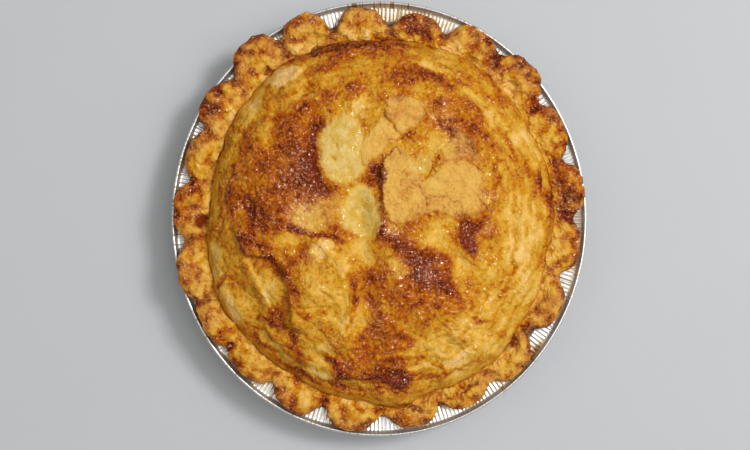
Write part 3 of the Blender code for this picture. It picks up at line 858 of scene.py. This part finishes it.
def crust_finish(colours):
    """Baked crust: browning from the mesh's values and fine speckle, glaze where juice ran, and
    painted shade in the grain's pits with painted highlights and glints on its tops.
    """
    sheet = Sheet("baked crust")
    place = sheet.add("TexCoord", output="Object")
    bake = sheet.value_of("bake")
    juice = sheet.value_of("juice")
    moist = sheet.value_of("moist")
    dry = sheet.value_of("dry")
    patch = sheet.speckle(place, 5.0 * MM, 3.0, 0.6)
    fleck = sheet.speckle(place, 1.6 * MM, 3.0, 0.65)
    grain = sheet.speckle(place, 0.8 * MM, 2.0, 0.6)
    tone = (bake + (patch - 0.5) * 0.17 + (fleck - 0.5) * 0.10).clamped()
    stops = (
        (0.0, colours.raw), (0.22, colours.pale), (0.44, colours.golden),
        (0.66, colours.amber), (0.86, colours.brown), (1.0, colours.burnt),
    )
    colour = sheet.add("ValToRGB", {"stops": stops}, {"Fac": tone}, output="Color")
    flaky = (dry * (1.25 - tone - (patch - 0.5) * 0.8)).clamped()
    colour = sheet.mix(flaky * 0.85, colour, colours.dry)
    dough = sheet.mix(((patch - 0.40) * 3.5).clamped(), colours.moist, colours.cream)
    colour = sheet.mix((moist * 0.85).clamped(), colour, dough)
    wet = (juice * 1.6 - (patch - 0.25) * 0.9 - (fleck - 0.4) * 0.5).clamped()
    colour = sheet.mix(wet, colour, colours.juice)
    # Painted shade: the pits of the grain and the mesh's pit value darken the colour by
    # multiplying with the pit colour
    pit = sheet.value_of("pit") * 0.8 + (0.46 - fleck) * 3.4 + (0.48 - grain) * 1.0
    pit = pit.clamped() * (0.05 + tone * 0.72)
    colour = sheet.mix(pit, colour, colours.pit, "MULTIPLY")
    gloss = sheet.value_of("gloss")
    browned = ((tone - 0.42) * 3.0).clamped()
    # Painted highlight: the tops of the fleck and grain noise, which are also the bump's tops, are
    # lightened toward the speck colours, and toward the sheen colour at glossy spots
    grain_highlight = ((fleck - 0.51) * 3.6 + (grain - 0.50) * 1.6).clamped()
    grain_highlight = grain_highlight * (0.52 + browned * 0.1 - wet * 0.35 + gloss * 0.1)
    light = sheet.mix(gloss * 0.5, sheet.mix(browned, colours.grain_highlight, colours.rosy_highlight), colours.painted_sheen)
    colour = sheet.mix(grain_highlight.clamped(), colour, light)
    # Painted glints: sparse flecks on the tops of the fleck noise, painted in the sheen colour
    # where the crust is glossy or browned
    painted_glint = ((fleck - 0.60) * 8.0).clamped() * (gloss * 0.65 + browned * 0.30)
    colour = sheet.mix(painted_glint.clamped(), colour, colours.painted_sheen)
    rough = 0.40 + (patch - 0.5) * 0.4 + dry * 0.3 - juice * 0.1
    glint = ((fleck - 0.53) * 7.0).clamped() * (0.30 + tone * 0.5 + moist * 0.6 - dry * 0.5)
    height = patch * 0.5 + fleck * 0.6 + grain * 0.3
    sheet.set(
        Base_Color=colour,
        Roughness=rough.clamped(),
        Coat_Weight=(wet * 0.08 + glint + gloss * 0.3).clamped(),
        Coat_Roughness=0.10,
        Coat_IOR=1.75,
        IOR=1.2,
        Specular_Tint=(1.0, 0.66, 0.30, 1.0),
        Normal=sheet.bump(height, 1.0, 1.1 * MM),
    )
    return sheet.material


def foil_finish(form):
    """Thin bright foil with baked-on juice."""
    sheet = Sheet("pie tin foil")
    place = sheet.add("TexCoord", output="Object")
    stain = sheet.value_of("stain")
    cloud = sheet.speckle(place, 3.0 * MM, 3.0, 0.6)
    fine = sheet.speckle(place, 0.8 * MM, 2.0, 0.5)
    film = (stain * 1.6 - cloud * 0.9).clamped()
    colour = sheet.mix(film, form.foil, form.film)
    dark = (stain * 2.2 - cloud * 1.2 - 0.75).clamped()
    colour = sheet.mix(dark, colour, form.crusted)
    sheet.set(
        Base_Color=colour,
        Metallic=(0.85 - film * 0.6).clamped(),
        Roughness=(0.24 + cloud * 0.16).clamped(),
        Normal=sheet.bump(fine, 0.25, 0.12 * MM),
    )
    return sheet.material


def floor_finish(colour):
    """Plain pale floor with a hardly seen unevenness."""
    sheet = Sheet("pale floor")
    place = sheet.add("TexCoord", output="Object")
    cloud = sheet.speckle(place, 60.0 * MM, 3.0, 0.5)
    low = tuple(channel * 0.97 for channel in colour[:3])
    sheet.set(
        Base_Color=sheet.mix(cloud, (*low, 1.0), tuple(colour)),
        Roughness=0.6,
    )
    return sheet.material


def spot_values(points):
    """Reads the tables of spots, lines and plates at points of the crust."""
    spread = 1.0 + (points[:, 2] - TIN_DEPTH) / LENS_HEIGHT
    ragged = 2.6 * clouds(points, 6.0 * MM, 21.0)
    ragged_too = 2.6 * clouds(points, 6.0 * MM, 34.0)
    fine = 1.2 * clouds(points, 2.0 * MM, 47.0)
    x = points[:, 0] * spread / MM + ragged + fine
    y = points[:, 1] * spread / MM + ragged_too - fine
    keys = ("bake", "juice", "moist", "dry", "rise", "gloss")
    found = {key: np.zeros(len(points)) for key in keys}
    drift = 7.0 * clouds(points, 16.0 * MM, 55.0)
    drift_too = 7.0 * clouds(points, 16.0 * MM, 66.0)
    for key, rows in SPOTS.items():
        for *ellipse, amount in rows:
            away = ellipse_distance(x + drift, y + drift_too, *ellipse)
            found[key] += amount * (1.0 - smoothstep(0.3, 1.3, away))
    for key, rows in LINES.items():
        for half_width, amount, corners in rows:
            away = line_distance(x, y, corners) / half_width
            found[key] += amount * (1.0 - smoothstep(0.3, 1.3, away))
    for changes, corners in AREAS:
        within = inside_distance(x - 0.5 * ragged, y - 0.5 * ragged_too, corners)
        for key, amount, softness in changes:
            found[key] += amount * smoothstep(-softness, softness, within)
    found["rise"] *= MM
    edge_x = points[:, 0] * spread / MM + 0.4 * ragged + fine
    edge_y = points[:, 1] * spread / MM + 0.4 * ragged_too - fine
    for rise, browned, softness, corners in PLATES:
        within = inside_distance(edge_x, edge_y, corners)
        found["rise"] += rise * MM * smoothstep(-0.3, 0.3, within)
        cover = smoothstep(-softness, softness, within + ragged * 0.3 * softness)
        found["dry"] = np.maximum(found["dry"], cover)
        found["bake"] += cover * (browned + 0.12 * np.exp(-np.abs(within) / 1.2))
    for depth, half_width, corners in CRACKS:
        cut = 1.0 - smoothstep(0.2, 1.3, line_distance(edge_x, edge_y, corners) / half_width)
        found["rise"] -= depth * MM * cut
        found["bake"] += 0.35 * cut
    return found


def flaky_layers(points, size, seed):
    """Heights of thin layers that end in crisp edges, in layers, and how near a lip is."""
    level = clouds(points, size, seed) + 0.5 * clouds(points, size * 0.42, seed + 5.0)
    level = 4.2 * (level + 0.22 * clouds(points, size * 0.18, seed + 9.0))
    whole = np.floor(level)
    part = level - whole
    lip = np.exp(-((part - 0.2) / 0.16) ** 2)
    return whole + smoothstep(0.0, 0.2, part) - 1.0, lip


def rim_streaks(points):
    """Thin uneven streaks that run along the rim of the lid, where its layers end."""
    radius = np.hypot(points[:, 0], points[:, 1])
    angle = np.arctan2(points[:, 1], points[:, 0])
    bent = radius + 3.0 * MM * clouds(points, 22.0 * MM, 91.0)
    at = np.column_stack((7.0 * np.cos(angle), 7.0 * np.sin(angle), bent / (2.6 * MM)))
    where = smoothstep(56.0 * MM, 80.0 * MM, radius) * (0.30 + 1.2 * around(angle, STREAKED) / MM)
    return where * (clouds(at, 1.0, 17.0) - 0.12)


def fine_relief(points, sizes, seeds):
    """Lumps, blisters, grain and creases of the crust, from noise of these sizes in mm."""
    lumps, blister, grain, crease = (
        clouds(points, size * MM, seed) for size, seed in zip(sizes, seeds)
    )
    return lumps, np.maximum(blister - 0.05, 0.0), grain, np.exp(-((crease / 0.08) ** 2))


def make_crust(context, name, points, triangles, values, **kept):
    """A piece of crust, with its own values for the finish and the rest from the tables."""
    colours = context.scene.crust_colours
    finish = bpy.data.materials.get("baked crust") or crust_finish(colours)
    for key in ("juice", "moist", "dry", "gloss"):
        kept.setdefault(key, np.clip(values[key], 0.0, 1.0))
    make_piece(name, points, triangles, kept, finish, "apple_pie")


class PIE_OT_lid(bpy.types.Operator):
    """Makes the tall uneven lid with its folds, flakes, cracks and glazed spots"""

    bl_idname = "pie.lid"
    bl_label = "Lid"

    def execute(self, context):
        form = context.scene.pie_form
        rings = [lid_points(form, 0.0, columns(1))]
        for i in range(1, LID_RINGS + 1):
            share = i / LID_RINGS
            count = max(6, round(FULL_TURN * share * GROOVE_RADIUS / LID_CELL))
            rings.append(lid_points(form, share, columns(count)))
        angle = columns(HIDDEN_COLUMNS)
        under = groove_floor(angle) - 1.2 * MM
        rings.append(round_points(lid_edge(angle) - 1.6 * MM, angle, under))
        rings.append(np.array(((0.0, 0.0, GROOVE_FLOOR - 2.5 * MM),)))
        points, triangles = lofted(rings)
        triangles = outward(points, triangles)
        top = len(points) - HIDDEN_COLUMNS - 1
        shown = np.arange(len(points)) < top
        radius = np.hypot(points[:, 0], points[:, 1])
        edge = smoothstep(GROOVE_RADIUS + 1.0 * MM, GROOVE_RADIUS - 6.0 * MM, radius) * shown
        values = spot_values(points)
        layers, lip = flaky_layers(points, 12.0 * MM, 3.0)
        lumps, blister, grain, crease = fine_relief(points, *LID_NOISE)
        matte = np.clip(values["dry"], 0.0, 1.0)
        smooth = np.clip(1.0 - values["moist"], 0.15, 1.0) * (1.0 - 0.3 * matte)
        mottle = 0.22 * clouds(points, 15.0 * MM, 81.0) + 0.18 * clouds(points, 6.0 * MM, 87.0)
        bubbly = 0.3 + 0.7 * smoothstep(-0.2, 0.25, values["bake"] + mottle)
        crease *= bubbly
        lift = values["rise"] + smooth * (
            LID_LUMPS * lumps + form.flake_rise * layers
            + bubbly * (LID_BLISTERS * blister + form.grain_depth * grain)
        )
        trim = LID_TRIM * smoothstep(64.0 * MM, 71.0 * MM, points[:, 2])
        lift += form.grain_depth * 0.4 * grain - trim
        streaks = rim_streaks(points)
        lift += STREAK_RISE * streaks * smooth - LID_CREASES * crease * smooth
        # Browning, with the grain's tops painted a little lighter as painted highlight
        bake = LID_TONE + 1.08 * values["bake"] + 0.30 * streaks + mottle + smooth * (
            0.08 * lip + 0.3 * blister - 0.10 * grain
        )
        # Painted shade for the finish: darker in creases, in the hollows of grain and lumps and
        # between streaks
        pit = np.clip(0.6 * crease - 1.7 * grain - 1.0 * lumps - 1.2 * streaks, 0.0, 1.0)
        points = points + normals_of(points, triangles) * (lift * edge)[:, None]
        make_crust(context, "lid", points, triangles, values, bake=bake, pit=pit)
        return {"FINISHED"}


class PIE_OT_border(bpy.types.Operator):
    """Makes the fluted border and the body that fills the tin"""

    bl_idname = "pie.border"
    bl_label = "Fluted border"

    def rings(self):
        """Rings from the hidden top, over the shown section, down round the body in the tin."""
        hidden = columns(HIDDEN_COLUMNS)
        many = columns(BORDER_COLUMNS)
        floor = groove_floor(hidden)
        rings = [
            np.array(((0.0, 0.0, GROOVE_FLOOR - 4.0 * MM),)),
            round_points(lid_edge(hidden) - 3.0 * MM, hidden, floor - 2.5 * MM),
            round_points(lid_edge(many) - 0.6 * MM, many, groove_floor(many) - 0.4 * MM),
        ]
        for turn in np.linspace(170.0, -34.0, BORDER_TURNS):
            rings.append(border_points(turn, many))
        for reach, inset in ((OVERHANG_END, 2.2 * MM), (OVERHANG_START, 3.4 * MM)):
            radius = np.minimum(reach, flutes_at(many)[0] - inset)
            rings.append(round_points(radius, many, underside(radius)))
        for radius, height in (
            (WALL_TOP - WALL_GAP, TIN_DEPTH + GAP),
            (WALL_TOP - WALL_GAP, WALL_HEIGHT),
            (FOOT_RADIUS - WALL_GAP, FOOT_HEIGHT + 0.8 * MM),
            (FOOT_RADIUS - 4.0 * MM, PIE_FLOOR),
        ):
            rings.append(round_points(radius, hidden, height))
        rings.append(np.array(((0.0, 0.0, PIE_FLOOR),)))
        return rings

    def execute(self, context):
        points, triangles = lofted(self.rings())
        triangles = outward(points, triangles)
        start = 1 + HIDDEN_COLUMNS + BORDER_COLUMNS
        shown_to = start + BORDER_TURNS * BORDER_COLUMNS
        index = np.arange(len(points))
        shown = (index >= start) & (index < shown_to)
        turn = np.where(shown, (index - start) // BORDER_COLUMNS / (BORDER_TURNS - 1), 1.0)
        angle = np.arctan2(points[:, 1] / (1.0 + SQUEEZE), points[:, 0] / (1.0 - SQUEEZE))
        inner = lid_edge(angle)
        outer, fullness = flutes_at(angle)
        radius = np.hypot(points[:, 0] / (1.0 - SQUEEZE), points[:, 1] / (1.0 + SQUEEZE))
        across = (radius - inner) / (outer - inner)
        wide = np.clip((outer - inner - NARROWEST) / (WIDEST - NARROWEST), 0.0, 1.0)
        fade = smoothstep(0.0, 0.08, turn) * smoothstep(1.0, 0.9, turn) * shown
        values = spot_values(points)
        layers, lip = flaky_layers(points, 9.0 * MM, 15.0)
        lumps, blister, grain, crease = fine_relief(points, *BORDER_NOISE)
        form = context.scene.pie_form
        lift = BORDER_LUMPS * lumps - BORDER_CREASES * crease + form.flake_rise * 0.8 * layers
        lift += BORDER_BLISTERS * blister
        lift += form.grain_depth * 1.5 * grain
        lift *= 1.0 - EDGE_CALM * smoothstep(0.55, 0.95, across)
        mottle = 0.25 * clouds(points, 11.0 * MM, 83.0) + 0.20 * clouds(points, 4.5 * MM, 89.0)
        # Browning, plus painted light and shade: the tops of the grain and lumps lighter, their
        # hollows darker
        bake = BORDER_TONE + values["bake"] + mottle + 0.10 * lip + 0.3 * blister - 0.14 * grain
        bake -= 0.42 * lumps
        bake += 0.30 * smoothstep(0.5, 0.98, across) * (0.4 + 0.6 * wide)
        bake -= 0.26 * (1.0 - smoothstep(0.1, 0.5, across)) * wide
        bake += 0.16 * smoothstep(0.72, 0.9, turn)
        # Painted shade: the pockets at the notches are cut in a little and darkened, as browning
        # and in the pit value
        notch = (1.0 - fullness) ** 4 * smoothstep(0.0, 0.25, across)
        lift -= NOTCH_CUT * notch
        bake += 0.28 * notch
        tan = np.clip(0.30 + 0.8 * clouds(points, 9.0 * MM, 29.0), 0.0, 0.6)
        lift += values["rise"]
        # Painted shade for the finish: darker in creases, in the hollows of grain and lumps and in
        # the notch pockets
        pit = np.clip(0.7 * crease - 1.7 * grain - 2.0 * lumps + 0.9 * notch, 0.0, 1.0)
        points = points + normals_of(points, triangles) * (lift * fade)[:, None]
        own = {"bake": bake, "pit": pit, "moist": np.zeros(len(points)), "dry": tan}
        make_crust(context, "fluted_border", points, triangles, values, **own)
        return {"FINISHED"}


class PIE_OT_tin(bpy.types.Operator):
    """Makes the foil tin with its fine pleats and rolled bead"""

    bl_idname = "pie.tin"
    bl_label = "Foil tin"

    def stations(self, form):
        """Rows of radius, height, columns, share of the wall's pleat, share of the flange's."""
        bead = form.bead_radius
        bead_middle = TIN_RADIUS - bead
        bead_height = BEAD_TOP - bead
        fine = 6 * form.pleats
        few, more = HIDDEN_COLUMNS, HIDDEN_COLUMNS * 2
        inside = FLANGE_LOW + SKIN
        wall = []
        for share in WALL_SHARES:
            radius = FOOT_RADIUS + (WALL_TOP - FOOT_RADIUS) * share
            height = FOOT_HEIGHT + (WALL_HEIGHT - FOOT_HEIGHT) * share
            wall.append((radius, height, fine, 1.0, 0))
        roll = []
        for turn in BEAD_TURNS:
            radius = bead_middle + bead * math.cos(math.radians(turn))
            height = bead_height + bead * math.sin(math.radians(turn))
            roll.append((radius, height, fine, 0, 0.12))
        return [
            (0.0, PANEL_RISE, 1, 0, 0),
            (PANEL_RADIUS, PANEL_RISE, few, 0, 0),
            (PANEL_RADIUS + 1.4 * MM, 0.0, few, 0, 0),
            (BASE_RADIUS - 1.0 * MM, 0.0, more, 0, 0),
            (BASE_RADIUS + 0.8 * MM, 0.25 * MM, fine // 2, 0, 0),
            (FOOT_RADIUS, FOOT_HEIGHT, fine, 0.3, 0),
            *wall,
            (WALL_TOP, TIN_DEPTH - 1.5 * MM, fine, 0.6, 0),
            (FLANGE_INNER - 0.1 * MM, FLANGE_LOW - 0.15 * MM, fine, 0.2, 0.7),
            (FLANGE_INNER + 1.0 * MM, FLANGE_LOW, fine, 0, 1.0),
            (FLANGE_OUTER, FLANGE_LOW, fine, 0, 1.0),
            (bead_middle - 0.5 * bead, bead_height - bead, fine, 0, 0.3),
            *roll,
            (FLANGE_OUTER + 0.5 * MM, inside + 0.1 * MM, fine, 0, 0.5),
            (FLANGE_OUTER - 0.7 * MM, inside, fine, 0, 1.0),
            (FLANGE_INNER + 1.0 * MM, inside, fine, 0, 1.0),
            (FLANGE_INNER - 0.3 * MM, inside - 0.25 * MM, fine, 0.2, 0.7),
            (WALL_TOP - 0.3 * MM, TIN_DEPTH - 1.8 * MM, fine, 0.6, 0),
            (WALL_TOP - 3.0 * MM, TIN_DEPTH - 5.2 * MM, more, 0, 0),
            (FOOT_RADIUS - 0.5 * MM, FOOT_HEIGHT + SKIN, few, 0, 0),
            (BASE_RADIUS - 1.0 * MM, SKIN, few, 0, 0),
            (PANEL_RADIUS + 1.2 * MM, SKIN, few, 0, 0),
            (PANEL_RADIUS - 0.4 * MM, PANEL_RISE + SKIN, few, 0, 0),
            (0.0, PANEL_RISE + SKIN, 1, 0, 0),
        ]

    def execute(self, context):
        form = context.scene.tin_form
        points, triangles = lofted([self.ring(form, *row) for row in self.stations(form)])
        triangles = outward(points, triangles)
        values = {"stain": self.stain(points)}
        finish = foil_finish(form)
        make_piece("foil_pie_tin", points, triangles, values, finish, "foil_tin")
        return {"FINISHED"}

    def ring(self, form, radius, height, count, on_wall, on_flange):
        """One ring of the tin, waved by the pleats."""
        angle = columns(count)
        if on_wall == 0 and on_flange == 0:
            return round_points(radius, angle, height)
        circle = np.column_stack((np.cos(angle), np.sin(angle), np.zeros(count)))
        drift = 1.6 * clouds(circle, 0.05, 3.0)
        uneven_depth = 0.65 + 0.9 * clouds(circle, 0.035, 8.0)
        wave = np.cos(form.pleats * angle + drift) * uneven_depth
        wide_wave = clouds(circle, 0.12, 5.0)
        in_out = on_wall * (form.pleat_depth * wave + 0.5 * MM * wide_wave)
        up_down = on_flange * form.flange_pleat * wave
        return round_points(radius + in_out, angle, height + up_down)

    def stain(self, points):
        """How much juice has baked on to the foil, plus broken dashes from the channel outward
        over the bead.
        """
        degrees = np.degrees(np.arctan2(points[:, 1], points[:, 0])) % 360.0
        radius = np.hypot(points[:, 0] / (1.0 - SQUEEZE), points[:, 1] / (1.0 + SQUEEZE)) / MM
        total = np.zeros(len(points))
        for angle, middle, half_angle, half_width, amount in STAINS:
            along = turned_from(angle, degrees) / half_angle
            total += amount * np.exp(-(along**2) - ((radius - middle) / half_width) ** 2)
        turned = np.radians(degrees)
        circle = np.column_stack((np.cos(turned), np.sin(turned), 0.0 * degrees))
        # Broken brownish dashes from the channel outward over the bead
        dashes = smoothstep(0.0, 0.4, clouds(circle, 0.010, 31.0))
        dashes *= smoothstep(118.6, 119.6, radius)
        return np.clip(total + 0.5 * dashes, 0.0, 1.0) * (points[:, 2] > TIN_DEPTH - 3.0 * MM)


class PIE_OT_stage(bpy.types.Operator):
    """Makes the floor, the lights and the camera"""

    bl_idname = "pie.stage"
    bl_label = "Floor, lights and camera"

    def execute(self, context):
        studio = context.scene.studio
        bpy.ops.mesh.primitive_plane_add(size=6.0, location=(0.0, 0.0, 0.0))
        floor = context.active_object
        floor.name = "pale_floor"
        floor.data.materials.append(floor_finish(studio.floor_colour))
        world = context.scene.world or bpy.data.worlds.new("studio")
        context.scene.world = world
        world.use_nodes = True
        sky = world.node_tree.nodes["Background"]
        sky.inputs["Color"].default_value = SKY_COLOUR
        sky.inputs["Strength"].default_value = studio.sky_strength
        for name, place, size, share in LIGHTS:
            self.softbox(name, place, size, studio.key_power * share)
        data = bpy.data.cameras.new("camera")
        data.lens = studio.focal_length
        data.sensor_width = 36.0
        data.clip_start = 0.01
        camera = bpy.data.objects.new("camera", data)
        camera.location = CAMERA_PLACE
        context.scene.collection.objects.link(camera)
        context.scene.camera = camera
        context.scene.view_settings.view_transform = "Standard"
        return {"FINISHED"}

    def softbox(self, name, place, size, power):
        """A square soft light that faces the pie."""
        data = bpy.data.lights.new(name, "AREA")
        data.size = size
        data.energy = power
        lamp = bpy.data.objects.new(name, data)
        lamp.location = place
        bpy.context.scene.collection.objects.link(lamp)
        aim = lamp.constraints.new("TRACK_TO")
        aim.target = bpy.data.objects["pale_floor"]


class PIE_PT_panel(bpy.types.Panel):
    """Lists the pie's pieces and their sizes"""

    bl_idname = "PIE_PT_panel"
    bl_label = "Apple pie"
    bl_space_type = "VIEW_3D"
    bl_region_type = "UI"
    bl_category = "Pie"

    def draw(self, context):
        for operator in (PIE_OT_lid, PIE_OT_border, PIE_OT_tin, PIE_OT_stage):
            self.layout.operator(operator.bl_idname)
        for group in SETTINGS:
            held = getattr(context.scene, group)
            for key in held.__annotations__:
                self.layout.prop(held, key)


SETTINGS = {
    "pie_form": PieForm,
    "tin_form": TinForm,
    "crust_colours": CrustColours,
    "studio": Studio,
}
CLASSES = (
    PieForm, TinForm, CrustColours, Studio,
    PIE_OT_lid, PIE_OT_border, PIE_OT_tin, PIE_OT_stage, PIE_PT_panel,
)


def register():
    for made in CLASSES:
        bpy.utils.register_class(made)
    for name, group in SETTINGS.items():
        setattr(bpy.types.Scene, name, PointerProperty(type=group))


def unregister():
    for name in SETTINGS:
        delattr(bpy.types.Scene, name)
    for made in reversed(CLASSES):
        bpy.utils.unregister_class(made)


def main():
    register()
    bpy.ops.pie.stage()
    bpy.ops.pie.lid()
    bpy.ops.pie.border()
    bpy.ops.pie.tin()
    bpy.context.view_layer.update()


if __name__ == "__main__":
    main()
